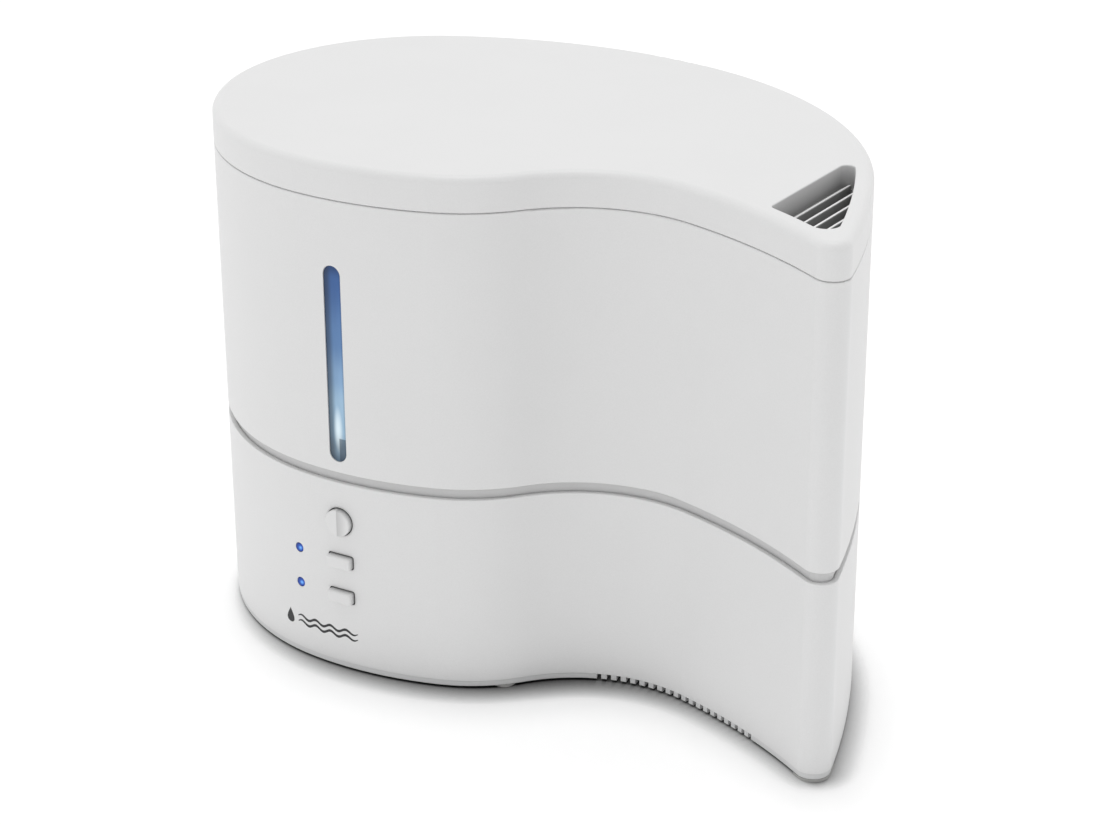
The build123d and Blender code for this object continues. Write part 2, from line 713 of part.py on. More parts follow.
# ---- base: fan ----------------------------------------------------------------------
def make_fan_frame():
    """Square frame with its bore, four struts and the motor's seat."""
    half = FAN_SIZE / 2
    top = FAN_LOW + FAN_HEIGHT
    frame = block(FAN_PLACE, (FAN_SIZE, FAN_SIZE), FAN_LOW, top)
    frame = fillet(upright(frame), 4.0)
    frame -= post(FAN_PLACE, half - 1.5, FAN_LOW - 1, top + 1)
    for place in fan_corners(25.0):
        frame -= post(place, 2.2, FAN_LOW - 1, top + 1)
    frame += post(FAN_PLACE, 14.0, FAN_LOW, FAN_LOW + 2)
    for angle in (45, 135, 225, 315):
        out = unit(angle) * 21
        frame += block((FAN_PLACE[0] + out.X, FAN_PLACE[1] + out.Y), (18.0, 3.0),
                       FAN_LOW, FAN_LOW + 2, angle)
    return frame


def make_fan_motor():
    """Stator with the shaft's bearing."""
    low = FAN_LOW + 2
    motor = post(FAN_PLACE, 11.5, low + 1.5, low + 7.5) + post(FAN_PLACE, 4.0, low, low + 9)
    return motor - post(FAN_PLACE, 1.5 + SHAFT_CLEARANCE, low - 1, low + 10)


def make_fan_rotor():
    """Hub, shaft and seven pitched blades."""
    low = FAN_LOW + 3
    top = FAN_LOW + FAN_HEIGHT - 1.2
    hub = tube(FAN_PLACE, 14.0, 12.5, low, top) + post(FAN_PLACE, 14.0, top - 1.4, top)
    hub += post(FAN_PLACE, 1.5, low, top)
    rotor = fillet(ShapeList([e for e in top_edges(hub, top) if e.radius > 13]), 0.8)
    blade_count = 7
    span = 14.6
    for number in range(blade_count):
        angle = FULL_TURN * number / blade_count
        out = unit(angle) * (13.2 + span / 2)
        plate = Rot(0, 0, angle) * Rot(38, 0, 0) * Box(span, 13.0, 1.2)
        blade = Pos(FAN_PLACE[0] + out.X, FAN_PLACE[1] + out.Y, (low + top) / 2) * plate
        rotor += blade & tube(FAN_PLACE, 27.8, 13.0, low, top)
    return rotor


def make_air_duct():
    """Funnel from the fan up to the tray's air stack."""
    low = FAN_LOW + FAN_HEIGHT
    height = BASIN_UNDER - low
    middle = Pos(FAN_PLACE[0], FAN_PLACE[1], (low + BASIN_UNDER) / 2)
    funnel = middle * Cone(FAN_SIZE / 2 - 0.2, STACK_RADIUS, height)
    return funnel - middle * Cone(FAN_SIZE / 2 - 2.2, STACK_RADIUS - 2, height)


# ---- base: controls -----------------------------------------------------------------
def make_control_board():
    """Circuit board behind the control column."""
    face = -BOARD_DEPTH
    return pad_out(PANEL, -11.0, 58.0, (50.0, 60.0), 1.0, face, face + BOARD_THICK)


def front_edges(shape, level):
    """Edges of a shape that lie on the panel plane's front at a distance from the wall."""
    return ShapeList([e for e in shape.edges()
                      if PANEL.to_local_coords(e).bounding_box().min.Z > level - 0.01])


def knob_scoop():
    """Upright cylinder that hollows the knob's right half from the grip to the rim."""
    start = Vector(0, GRIP_HEIGHT)
    end = Vector(KNOB_RADIUS, KNOB_FACE)
    chord = end - start
    reach = sqrt(SCOOP_RADIUS ** 2 - (chord.length / 2) ** 2)
    middle = (start + end) / 2 + Vector(-chord.Y, chord.X).normalized() * reach
    centre = PANEL * Pos(CONTROL_X + middle.X, 0, middle.Y) * Vertex(0, 0, 0)
    return post((centre.X, centre.Y), SCOOP_RADIUS, KNOB_Z - 10, KNOB_Z + 10)


def make_knob():
    """Round knob: its left half is the grip, its right half a scoop, with a hub behind."""
    hub_radius, hub_back, bore_top = 4.5, -9.0, -3.0
    cap = rod_out(PANEL, CONTROL_X, KNOB_Z, KNOB_RADIUS, CAP_BACK, GRIP_HEIGHT)
    knob = fillet(front_edges(cap, GRIP_HEIGHT), GRIP_EDGE) - knob_scoop()
    knob += rod_out(PANEL, CONTROL_X, KNOB_Z, hub_radius, hub_back, CAP_BACK)
    bore = SHAFT_RADIUS + GLUE_GAP
    return knob - rod_out(PANEL, CONTROL_X, KNOB_Z, bore, hub_back - 1, bore_top)


def make_dial_shaft():
    """Shaft that the knob turns."""
    return rod_out(PANEL, CONTROL_X, KNOB_Z, SHAFT_RADIUS, -17.0, -3.2)


def make_dial_body():
    """Rotary control: square body and a round bushing."""
    board = -BOARD_DEPTH + BOARD_THICK
    body_top, bush_top, bush_radius = -12.0, -9.6, 4.6
    body = pad_out(PANEL, CONTROL_X, KNOB_Z, (16.0, 16.0), 1.0, board, body_top)
    body += rod_out(PANEL, CONTROL_X, KNOB_Z, bush_radius, body_top, bush_top)
    bore = SHAFT_RADIUS + SHAFT_CLEARANCE
    return body - rod_out(PANEL, CONTROL_X, KNOB_Z, bore, -17.3, bush_top + 1)


def make_button(level):
    """Push button: rounded cap, a stop flange behind the wall and a stem."""
    flange_front, stem_radius, stem_end = -4.4, 1.7, -14.0
    cap = pad_out(PANEL, CONTROL_X, level, BUTTON_SIZE, 1.0, CAP_BACK, BUTTON_PROUD)
    cap = fillet(front_edges(cap, BUTTON_PROUD), BUTTON_EDGE)
    flange = pad_out(PANEL, CONTROL_X, level, BUTTON_FLANGE, 1.0, CAP_BACK, flange_front)
    return cap + flange + rod_out(PANEL, CONTROL_X, level, stem_radius, stem_end, CAP_BACK)


def make_key_switches():
    """Two key switches with a bore for each button's stem."""
    board = -BOARD_DEPTH + BOARD_THICK
    top, bore, bore_end = -13.0, 2.0, -16.0
    switches = []
    for level in BUTTON_Z.values():
        body = pad_out(PANEL, CONTROL_X, level, (8.0, 8.0), 0.6, board, top)
        switches.append(body - rod_out(PANEL, CONTROL_X, level, bore, bore_end, top + 1))
    return switches


def make_indicator(level):
    """Indicator lens: light pipe from the board to a domed face in the wall."""
    pipe = rod_out(PANEL, LED_X, level, LED_RADIUS, -BOARD_DEPTH + BOARD_THICK, LED_FACE)
    return fillet(front_edges(pipe, LED_FACE), 0.7)


# ---- base: power --------------------------------------------------------------------
def make_transformer_core():
    """Laminated core with two windows for the coil."""
    core = block(TRANSFORMER_PLACE, (66.0, 22.0), PLATE_TOP, 58.0)
    for shift in (-16.5, 16.5):
        x = TRANSFORMER_PLACE[0] + shift
        core -= block((x, TRANSFORMER_PLACE[1]), (11.0, 30.0), 15.0, 47.0)
    feet = block(TRANSFORMER_PLACE, (66.0, 44.0), PLATE_TOP, PLATE_TOP + 2)
    return core + feet


def make_transformer_coil():
    """Wound coil round the core's middle limb."""
    outer = block(TRANSFORMER_PLACE, (42.6, 42.0), 15.4, 46.6)
    outer = fillet(upright(outer), 6.0)
    return outer - block(TRANSFORMER_PLACE, (22.6, 22.6), 14.0, 48.0)


def make_power_board():
    """Circuit board of the power supply."""
    return block(POWER_PLACE, POWER_SIZE, 12.0, 12.0 + BOARD_THICK)


def make_power_parts():
    """Capacitors, relay and a cooling plate on the power board."""
    x, y = POWER_PLACE
    low = 12.0 + BOARD_THICK
    capacitors = [post((x - 18, y + 24), 8.0, low, low + 26), post((x + 4, y + 24), 6.5, low, low + 21)]
    relay = block((x + 16, y - 2), (16.0, 20.0), low, low + 15)
    plate = block((x - 8, y - 26), (34.0, 2.4), low, low + 28)
    return capacitors + [relay, plate]


def figure_eight(grow):
    """Figure-eight section of the mains inlet."""
    half = 4.3
    return (Pos(-half, 0) * Circle(half + grow) + Pos(half, 0) * Circle(half + grow)
            + Rectangle(2 * half, 2 * (half + grow) - 2.4))


def make_inlet_socket():
    """Two-pin inlet: rounded body, inner flange and the figure-eight recess."""
    body = pad_out(REAR, 0, INLET_Z, (22.0, 12.0), 1.8, -18.0, -0.4)
    body += pad_out(REAR, 0, INLET_Z, (28.0, 17.0), 1.8, -5.6, -3.4)
    recess = REAR * Pos(0, INLET_Z, -13.0) * extrude(figure_eight(0.2), 14.0)
    return body - recess


def make_inlet_pins():
    """The inlet's two contact pins."""
    return [rod_out(REAR, shift, INLET_Z, 1.2, -13.0, -3.0) for shift in (-4.3, 4.3)]


# ---- every node ---------------------------------------------------------------------
def make_nodes():
    """All sub-parts by node name."""
    nodes = {
        "lid": make_lid(), "outlet_grille": make_outlet_grille(),
        "tank_shell": make_tank_shell(), "window_lens": make_window_lens(),
        "tank_top": make_tank_top(), "tank_bottom": make_tank_bottom(),
        "mist_duct": make_mist_duct(), "light_lens": make_light_lens(),
        "tank_cap": make_tank_cap(), "cap_seal": make_cap_seal(),
        "valve_plunger": make_valve_plunger(), "valve_washer": make_valve_washer(),
        "valve_spring": make_valve_spring(), "base_housing": make_base_housing(),
        "bottom_plate": make_bottom_plate(), "feet": make_feet(),
        "case_screws": make_case_screws(), "water_tray": make_water_tray(),
        "float_post": make_float_post(), "float": make_float(),
        "tank_lamp": make_tank_lamp(), "transducer": make_transducer(),
        "transducer_seal": make_transducer_seal(),
        "transducer_holder": make_transducer_holder(),
        "driver_board": make_driver_board(), "driver_parts": make_driver_parts(),
        "heat_sink": make_heat_sink(), "fan_frame": make_fan_frame(),
        "fan_motor": make_fan_motor(), "fan_rotor": make_fan_rotor(),
        "air_duct": make_air_duct(), "control_board": make_control_board(),
        "knob": make_knob(), "dial_shaft": make_dial_shaft(),
        "dial_body": make_dial_body(), "key_switches": make_key_switches(),
        "transformer_core": make_transformer_core(),
        "transformer_coil": make_transformer_coil(),
        "power_board": make_power_board(), "power_parts": make_power_parts(),
        "inlet_socket": make_inlet_socket(), "inlet_pins": make_inlet_pins(),
    }
    for name, level in BUTTON_Z.items():
        nodes[f"button_{name}"] = make_button(level)
        nodes[f"indicator_{name}"] = make_indicator(level)
    return nodes


def write_nodes():
    """One STEP file per node."""
    os.makedirs("parts", exist_ok=True)
    for name, shape in make_nodes().items():
        solids = shape if isinstance(shape, list) else shape.solids()
        flat = [solid for item in solids for solid in item.solids()]
        whole = flat[0] if len(flat) == 1 else Compound(children=flat)
        whole.label = name
        export_step(whole, f"parts/{name}.step")


write_nodes()
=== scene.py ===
"""Looks of the tear-drop cool mist humidifier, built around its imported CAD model."""

import json
from math import cos, pi, radians, sin

import bmesh
import bpy
from mathutils import Matrix, Vector


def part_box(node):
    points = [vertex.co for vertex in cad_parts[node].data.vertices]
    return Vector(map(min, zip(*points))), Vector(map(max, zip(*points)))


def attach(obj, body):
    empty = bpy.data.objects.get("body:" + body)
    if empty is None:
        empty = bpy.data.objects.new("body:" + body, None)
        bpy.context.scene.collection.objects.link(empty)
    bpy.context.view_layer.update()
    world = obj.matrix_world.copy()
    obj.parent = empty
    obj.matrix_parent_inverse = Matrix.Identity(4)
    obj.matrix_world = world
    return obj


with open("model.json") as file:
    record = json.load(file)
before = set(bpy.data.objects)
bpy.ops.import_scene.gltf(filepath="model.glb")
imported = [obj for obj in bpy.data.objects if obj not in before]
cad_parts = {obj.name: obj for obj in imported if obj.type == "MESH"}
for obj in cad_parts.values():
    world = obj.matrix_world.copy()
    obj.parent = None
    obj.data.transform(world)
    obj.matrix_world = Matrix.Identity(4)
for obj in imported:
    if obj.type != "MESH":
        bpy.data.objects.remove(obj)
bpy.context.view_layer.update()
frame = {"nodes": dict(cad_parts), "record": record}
nodes = frame["nodes"]
scene = bpy.context.scene

# Where the control panel is: the middle line of the dial, the buttons and the window.
PANEL = Vector((-0.0649974, -0.107476, 0))
PANEL_OUT = Vector((-0.073238, -0.997314, 0)).normalized()
PANEL_RIGHT = Vector((-PANEL_OUT.y, PANEL_OUT.x, 0))


def srgb(r, g, b):
    """Linear colour of an 8-bit display colour."""
    return tuple(
        (v / 255 / 12.92) if v <= 10 else ((v / 255 + 0.055) / 1.055) ** 2.4 for v in (r, g, b)
    )


# ---------------------------------------------------------------- camera

AIM = Vector((-0.004427, -0.011755, 0.105409))
DISTANCE = 1.29720
AZIMUTH, PITCH, ROLL = radians(26), radians(23.76), radians(0.235)
LENS = 89.3627

forward = Vector((-sin(AZIMUTH) * cos(PITCH), cos(AZIMUTH) * cos(PITCH), -sin(PITCH)))
level = Vector((cos(AZIMUTH), sin(AZIMUTH), 0))
upright = level.cross(forward)
right = level * cos(ROLL) - upright * sin(ROLL)
up = upright * cos(ROLL) + level * sin(ROLL)
camera_data = bpy.data.cameras.new("camera")
camera_data.lens, camera_data.sensor_width = LENS, 36
camera_data.clip_start, camera_data.clip_end = 0.01, 60
camera = bpy.data.objects.new("camera", camera_data)
scene.collection.objects.link(camera)
turn = Matrix((right, up, -forward)).transposed().to_4x4()
camera.matrix_world = Matrix.Translation(AIM - forward * DISTANCE) @ turn
scene.camera = camera
scene.view_settings.view_transform = "Standard"
scene.view_settings.look = "None"


# ---------------------------------------------------------------- shader nodes


class Tree:
    """Short names for building a material's or the world's nodes."""

    def __init__(self, owner):
        owner.use_nodes = True
        self.tree = owner.node_tree
        self.tree.nodes.clear()

    def add(self, kind, **values):
        """A node; a value is a number, a colour or another node's output socket."""
        node = self.tree.nodes.new(kind)
        for name, value in values.items():
            if hasattr(node, name):
                setattr(node, name, value)
            else:
                self.set(node.inputs[name.replace("_", " ")], value)
        return node

    def set(self, socket, value):
        if isinstance(value, bpy.types.NodeSocket):
            self.tree.links.new(value, socket)
        elif isinstance(value, tuple) and len(value) == 3 and socket.type == "RGBA":
            socket.default_value = (*value, 1)
        else:
            socket.default_value = value

    def math(self, operation, *values, clamp=False):
        node = self.add("ShaderNodeMath", operation=operation, use_clamp=clamp)
        for socket, value in zip(node.inputs, values):
            self.set(socket, value)
        return node.outputs[0]

    def dot(self, vector, axis):
        node = self.add("ShaderNodeVectorMath", operation="DOT_PRODUCT")
        self.set(node.inputs[0], vector)
        node.inputs[1].default_value = axis
        return node.outputs["Value"]

    def place(self, stretch=(1, 1, 1)):
        """Object coordinates in metres, stretched."""
        where = self.add("ShaderNodeTexCoord").outputs["Object"]
        if tuple(stretch) == (1, 1, 1):
            return where
        return self.add("ShaderNodeMapping", Vector=where, Scale=stretch).outputs[0]

    def noise(self, size, detail=2.0, stretch=(1, 1, 1)):
        """Noise with features of about size metres."""
        return self.add(
            "ShaderNodeTexNoise", Vector=self.place(stretch), Scale=1 / size, Detail=detail
        ).outputs["Fac"]

    def cells(self, size, feature="F1"):
        return self.add(
            "ShaderNodeTexVoronoi", Vector=self.place(), Scale=1 / size, feature=feature
        ).outputs["Distance"]

    def span(self, value, low, high, to_low=0.0, to_high=1.0):
        """value from low..high to to_low..to_high, held at the ends."""
        node = self.add("ShaderNodeMapRange", clamp=True)
        for socket, number in zip(node.inputs, (value, low, high, to_low, to_high)):
            self.set(socket, number)
        return node.outputs[0]

    def ramp(self, value, stops):
        node = self.add("ShaderNodeValToRGB", Fac=value)
        ramp = node.color_ramp
        ramp.interpolation = "EASE"
        while len(ramp.elements) < len(stops):
            ramp.elements.new(1)
        for element, (position, colour) in zip(ramp.elements, stops):
            element.position, element.color = position, (*colour, 1)
        return node.outputs[0]

    def tint(self, colour, factor):
        """colour times a grey factor."""
        node = self.add("ShaderNodeMix", data_type="RGBA", blend_type="MULTIPLY")
        node.inputs[0].default_value = 1
        self.set(node.inputs[6], colour)
        self.set(node.inputs[7], factor)
        return node.outputs[2]

    def between(self, factor, a, b):
        node = self.add("ShaderNodeMix", data_type="RGBA")
        for socket, value in zip((node.inputs[0], node.inputs[6], node.inputs[7]), (factor, a, b)):
            self.set(socket, value)
        return node.outputs[2]

    def bump(self, height, depth, strength=1.0):
        node = self.add("ShaderNodeBump", Height=height, Distance=depth, Strength=strength)
        return node.outputs[0]

    def surface(self, **values):
        """The material's one shader, joined to its output."""
        shader = self.add("ShaderNodeBsdfPrincipled", **values)
        end = self.add("ShaderNodeOutputMaterial")
        self.tree.links.new(shader.outputs[0], end.inputs["Surface"])


def material(name):
    made = bpy.data.materials.new(name)
    return made, Tree(made)


def moulded(
    name, colour, rough, grain=0.0007, shade=0.02, depth=0.00002, shades=(), **more
):
    """Moulded plastic: fine spark-eroded grain, faint flow mottling, uneven gloss.

    Each of shades makes one more factor on the colour from the material's tree.
    """
    made, t = material(name)
    fine = t.noise(grain, 3)
    broad = t.noise(0.045, 2)
    light = t.math(
        "ADD", t.span(fine, 0.3, 0.7, 1 - shade, 1.0), t.span(broad, 0.3, 0.7, -0.006, 0.006)
    )
    for extra in shades:
        light = t.math("MULTIPLY", light, extra(t))
    t.surface(
        Base_Color=t.tint(colour, light),
        Roughness=t.span(fine, 0.25, 0.75, rough - 0.05, rough + 0.06),
        Normal=t.bump(fine, depth, 0.6),
        **more,
    )
    return made


# The mist outlet's walls: the flat one by a point and its inward direction, the two curved
# ones by the middle and the radius of their arcs.
OUTLET_FLAT = ((0.1296, -0.0763), (0.9919, -0.1271))
OUTLET_FRONT = ((-0.003834, -0.328074), 0.2842)
OUTLET_RIGHT = ((-0.294675, -0.172351), 0.4663)
OUTLET_MARGIN = 0.0003
LID_EDGE, LID_TOP = 0.2492, 0.2499


def in_outlet(low, high, low_factor, high_factor):
    """Shade by height on the mist outlet's walls, which the soft light leaves too light."""

    def factor(t):
        where = t.place()
        flat = t.place((1, 1, 0))
        (x, y), inward = OUTLET_FLAT
        start = x * inward[0] + y * inward[1] - OUTLET_MARGIN
        inside = t.span(t.dot(where, (*inward, 0)), start - 0.0001, start)
        for ((x, y), radius), side in ((OUTLET_FRONT, 1), (OUTLET_RIGHT, -1)):
            away = t.add("ShaderNodeVectorMath", operation="DISTANCE")
            t.set(away.inputs[0], flat)
            away.inputs[1].default_value = (x, y, 0)
            limit = radius - side * OUTLET_MARGIN
            ends = (limit - side * 0.0001, limit)
            within = t.span(
                away.outputs["Value"], min(ends), max(ends), *((0, 1) if side > 0 else (1, 0))
            )
            inside = t.math("MULTIPLY", inside, within)
        height = t.dot(where, (0, 0, 1))
        inside = t.math("MULTIPLY", inside, t.span(height, LID_EDGE, LID_TOP, 1.0, 0.0))
        level = t.span(height, low, high, low_factor, high_factor)
        return t.math("MULTIPLY_ADD", inside, t.math("SUBTRACT", level, 1.0), 1.0)

    return factor


def in_gaps(reach, power):
    """Deeper shade in narrow gaps and inner corners."""

    def factor(t):
        near = t.add("ShaderNodeAmbientOcclusion", samples=6, Distance=reach).outputs["AO"]
        return t.math("POWER", near, power)

    return factor


def in_scoop(across, width, least):
    """Shade of the dial's hollow: darkest beside the grip, gone at the rim."""

    def factor(t):
        side = t.math("SUBTRACT", t.dot(t.place(), tuple(PANEL_RIGHT)), PANEL.dot(PANEL_RIGHT))
        hollow = t.span(side, across, across + width, least, 1.0)
        start = t.span(side, across - 0.0002, across, 0.0, 1.0)
        return t.math("MULTIPLY_ADD", start, t.math("SUBTRACT", hollow, 1.0), 1.0)

    return factor


def metal(name, colour, rough, line, stretch, depth=0.000008):
    """Bare metal with drawn or ground lines."""
    made, t = material(name)
    lines = t.noise(line, 3, stretch)
    spots = t.noise(0.004, 4)
    t.surface(
        Base_Color=t.tint(colour, t.span(lines, 0.3, 0.7, 0.86, 1.0)),
        Metallic=1.0,
        Roughness=t.math(
            "ADD",
            t.span(lines, 0.3, 0.7, rough - 0.06, rough + 0.06),
            t.span(spots, 0.4, 0.7, 0, 0.08),
        ),
        Normal=t.bump(lines, depth, 0.5),
    )
    return made


# ---------------------------------------------------------------- materials

WHITE = (0.785, 0.785, 0.785)
PALE = (0.775, 0.775, 0.775)
DIAL_ACROSS = -0.0005
made = {
    "shell": moulded("shell_plastic", WHITE, 0.46, shade=0.028),
    "base": moulded("base_plastic", WHITE, 0.46, shade=0.028, shades=[in_gaps(0.0016, 0.8)]),
    "lid": moulded(
        "lid_plastic", WHITE, 0.46, shade=0.028, shades=[in_outlet(0.2405, 0.2492, 0.52, 0.98)]
    ),
    # Painted highlight: the grille is whiter than the shell so its fin tops read bright; below the
    # fin tops it is darkened, painted shade.
    "grille": moulded(
        "grille_plastic",
        (0.96,) * 3,
        0.4,
        shade=0.02,
        shades=[in_outlet(0.2404, 0.2408, 0.36, 1.0)],
    ),
    "inner": moulded("inner_plastic", (0.700, 0.705, 0.705), 0.52, 0.0012, 0.02),
    "tray": moulded("tray_plastic", (0.640, 0.640, 0.640), 0.55, 0.0010, 0.02),
    "control": moulded(
        "control_plastic", PALE, 0.34, 0.0004, 0.012, 0.000008, shades=[in_gaps(0.003, 1.0)]
    ),
    "dial": moulded(
        "dial_plastic",
        PALE,
        0.34,
        0.0004,
        0.012,
        0.000008,
        shades=[in_gaps(0.003, 1.0), in_scoop(DIAL_ACROSS, 0.0052, 0.72)],
    ),
    # Painted shade: the duct is made dark grey to stand for the shade deep inside it.
    "duct": moulded("duct_plastic", (0.30, 0.305, 0.31), 0.5, 0.0010, 0.03),
    "dark": moulded("dark_plastic", (0.030, 0.030, 0.033), 0.42, 0.0005, 0.25, 0.00003),
    "rubber": moulded("seal_rubber", (0.028, 0.028, 0.031), 0.72, 0.0009, 0.3, 0.00004),
    "foot_rubber": moulded("foot_rubber", (0.46, 0.46, 0.45), 0.78, 0.0006, 0.1, 0.00004),
    "float_foam": moulded("float_foam", (0.72, 0.72, 0.67), 0.85, 0.0008, 0.1, 0.00008),
    "steel": metal("bright_steel", (0.62, 0.62, 0.63), 0.28, 0.0004, (1, 1, 6)),
    "aluminium": metal("extruded_aluminium", (0.74, 0.75, 0.76), 0.34, 0.0005, (1, 0.04, 1)),
    "lamination": metal(
        "laminated_steel", (0.20, 0.20, 0.22), 0.5, 0.0005, (1, 0.02, 0.02), 0.00003
    ),
    "brass": metal("contact_brass", (0.78, 0.60, 0.30), 0.3, 0.0004, (1, 0.1, 1)),
}


WINDOW_LOW, WINDOW_HIGH, WINDOW_HALF = 0.1075, 0.2027, 0.0046
# Top of the painted shade low on the right of the window.
LOW_RIGHT_SHADE_TOP = 0.1188
GLOW_HEIGHT, GLOW_TALL, GLOW_ACROSS, GLOW_WIDE = 0.1235, 0.0125, 0.0004, 0.0027


def window_material():
    """Clear level window; the glow of the tank lit blue behind it is painted on as emission,
    brightest over the lamp.
    """
    result, t = material("level_window")
    where = t.place()
    height = t.dot(where, (0, 0, 1))
    across = t.math("SUBTRACT", t.dot(where, tuple(PANEL_RIGHT)), PANEL.dot(PANEL_RIGHT))
    glow = t.ramp(
        t.span(height, WINDOW_LOW, WINDOW_HIGH),
        (
            (0.00, srgb(72, 92, 108)),
            (0.06, srgb(116, 138, 154)),
            (0.16, srgb(146, 176, 198)),
            (0.30, srgb(148, 178, 202)),
            (0.44, srgb(122, 154, 188)),
            (0.62, srgb(86, 122, 168)),
            (0.93, srgb(48, 86, 142)),
            (1.00, srgb(14, 50, 98)),
        ),
    )
    # Painted shade: the glow falls off towards both edges of the slot, most on the left.
    side = t.ramp(
        t.span(across, -WINDOW_HALF, WINDOW_HALF),
        (
            (0.00, (0.12,) * 3),
            (0.14, (0.34,) * 3),
            (0.50, (0.97,) * 3),
            (0.84, (1.06,) * 3),
            (1.00, (0.62,) * 3),
        ),
    )
    # Painted shade: the glow is darker low on the right of the window.
    low_right_shade = t.math(
        "MULTIPLY",
        t.span(across, 0.0006, 0.0009),
        t.span(height, LOW_RIGHT_SHADE_TOP, LOW_RIGHT_SHADE_TOP + 0.0004, 1.0, 0.0),
    )
    # A painted pool of light in the glow, over the lamp.
    spot = t.math(
        "ADD",
        t.math(
            "POWER", t.math("DIVIDE", t.math("SUBTRACT", across, GLOW_ACROSS), GLOW_WIDE), 2.0
        ),
        t.math(
            "POWER", t.math("DIVIDE", t.math("SUBTRACT", height, GLOW_HEIGHT), GLOW_TALL), 2.0
        ),
    )
    spot = t.math("POWER", t.span(spot, 0.0, 1.0, 1.0, 0.0), 1.5)
    haze = t.span(t.noise(0.006, 3, (1, 1, 0.25)), 0.3, 0.7, 0.93, 1.05)
    lit = t.tint(t.tint(glow, side), t.math("MULTIPLY", haze, t.span(low_right_shade, 0, 1, 1.0, 0.42)))
    beam = t.tint((0.42, 0.40, 0.33), t.math("MULTIPLY", spot, t.span(low_right_shade, 0, 1, 1.0, 0.25)))
    both = t.add("ShaderNodeMix", data_type="RGBA", blend_type="ADD")
    both.inputs[0].default_value = 1
    t.set(both.inputs[6], lit)
    t.set(both.inputs[7], beam)
    t.surface(
        Base_Color=(0.006, 0.014, 0.030),
        Roughness=t.span(t.noise(0.002), 0.3, 0.7, 0.10, 0.17),
        Specular_IOR_Level=0.3,
        Emission_Color=both.outputs[2],
        Emission_Strength=1.0,
        Coat_Weight=0.2,
        Coat_Roughness=0.06,
    )
    return result


def indicator_material(name, middle):
    """Blue diffusing lens: light core, deep blue rim."""
    result, t = material(name)
    where = t.add("ShaderNodeVectorMath", operation="SUBTRACT")
    t.set(where.inputs[0], t.place())
    where.inputs[1].default_value = middle
    away = t.add("ShaderNodeVectorMath", operation="LENGTH")
    t.set(away.inputs[0], where.outputs[0])
    core = t.ramp(
        t.span(away.outputs["Value"], 0.0, 0.0024),
        (
            (0.00, srgb(136, 200, 255)),
            (0.26, srgb(84, 150, 232)),
            (0.52, srgb(26, 70, 160)),
            (1.00, srgb(10, 38, 100)),
        ),
    )
    speck = t.span(t.noise(0.0006, 3), 0.3, 0.7, 0.94, 1.04)
    t.surface(
        Base_Color=(0.006, 0.022, 0.12),
        Roughness=0.22,
        Specular_IOR_Level=0.35,
        Emission_Color=t.tint(core, speck),
        Emission_Strength=0.9,
        Coat_Weight=0.2,
        Coat_Roughness=0.08,
    )
    return result


def clear_material():
    result, t = material("clear_polycarbonate")
    t.surface(
        Base_Color=t.tint((0.86, 0.93, 1.0), t.span(t.noise(0.01), 0.3, 0.7, 0.96, 1.0)),
        Roughness=t.span(t.noise(0.003, 3), 0.3, 0.7, 0.04, 0.10),
        Transmission_Weight=0.9,
        IOR=1.58,
    )
    return result


def ceramic_material():
    """Silvered disc with a bare ceramic rim round it."""
    result, t = material("silvered_ceramic")
    grain = t.noise(0.0005, 3)
    where = t.add("ShaderNodeVectorMath", operation="SUBTRACT")
    t.set(where.inputs[0], t.place((1, 1, 0)))
    lo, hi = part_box("transducer")
    middle = (lo + hi) / 2
    where.inputs[1].default_value = (middle.x, middle.y, 0)
    away = t.add("ShaderNodeVectorMath", operation="LENGTH")
    t.set(away.inputs[0], where.outputs[0])
    radius = (hi.x - lo.x) / 2
    silver = t.span(away.outputs["Value"], radius * 0.80, radius * 0.84, 1.0, 0.0)
    t.surface(
        Base_Color=t.tint(
            t.between(silver, (0.74, 0.70, 0.60), (0.80, 0.80, 0.79)),
            t.span(grain, 0.3, 0.7, 0.93, 1.0),
        ),
        Metallic=silver,
        Roughness=t.span(grain, 0.3, 0.7, 0.3, 0.42),
        Normal=t.bump(grain, 0.00001),
    )
    return result


def board_material():
    """Green solder mask over raised tracks, with tinned pads."""
    result, t = material("circuit_board")
    tracks = t.add("ShaderNodeTexBrick", Vector=t.place((1, 1, 0.9)), Scale=130.0)
    tracks.inputs["Mortar Size"].default_value = 0.06
    tracks.inputs["Mortar Smooth"].default_value = 0.3
    line = tracks.outputs["Fac"]
    pads = t.span(t.cells(0.0036), 0.12, 0.15, 1.0, 0.0)
    mask = t.between(line, (0.010, 0.105, 0.045), (0.022, 0.185, 0.075))
    weave = t.noise(0.0008, 3)
    t.surface(
        Base_Color=t.tint(
            t.between(pads, mask, (0.70, 0.70, 0.68)), t.span(weave, 0.3, 0.7, 0.85, 1.0)
        ),
        Metallic=pads,
        Roughness=t.span(weave, 0.3, 0.7, 0.24, 0.38),
        Normal=t.bump(t.math("ADD", line, t.math("MULTIPLY", weave, 0.2)), 0.00004),
        Coat_Weight=0.3,
        Coat_Roughness=0.15,
    )
    return result


def winding_material():
    """Turns of lacquered wire under clear yellow tape."""
    result, t = material("taped_winding")
    turns = t.add(
        "ShaderNodeTexWave", Vector=t.place(), Scale=420.0, Distortion=0.6, bands_direction="Z"
    ).outputs["Fac"]
    t.set(turns.node.inputs["Detail Scale"], 3.0)
    t.surface(
        Base_Color=t.ramp(turns, ((0.0, (0.30, 0.13, 0.02)), (1.0, (0.72, 0.46, 0.09)))),
        Roughness=t.span(t.noise(0.002, 3), 0.3, 0.7, 0.28, 0.5),
        Normal=t.bump(turns, 0.00006),
        Coat_Weight=0.4,
        Coat_Roughness=0.2,
    )
    return result


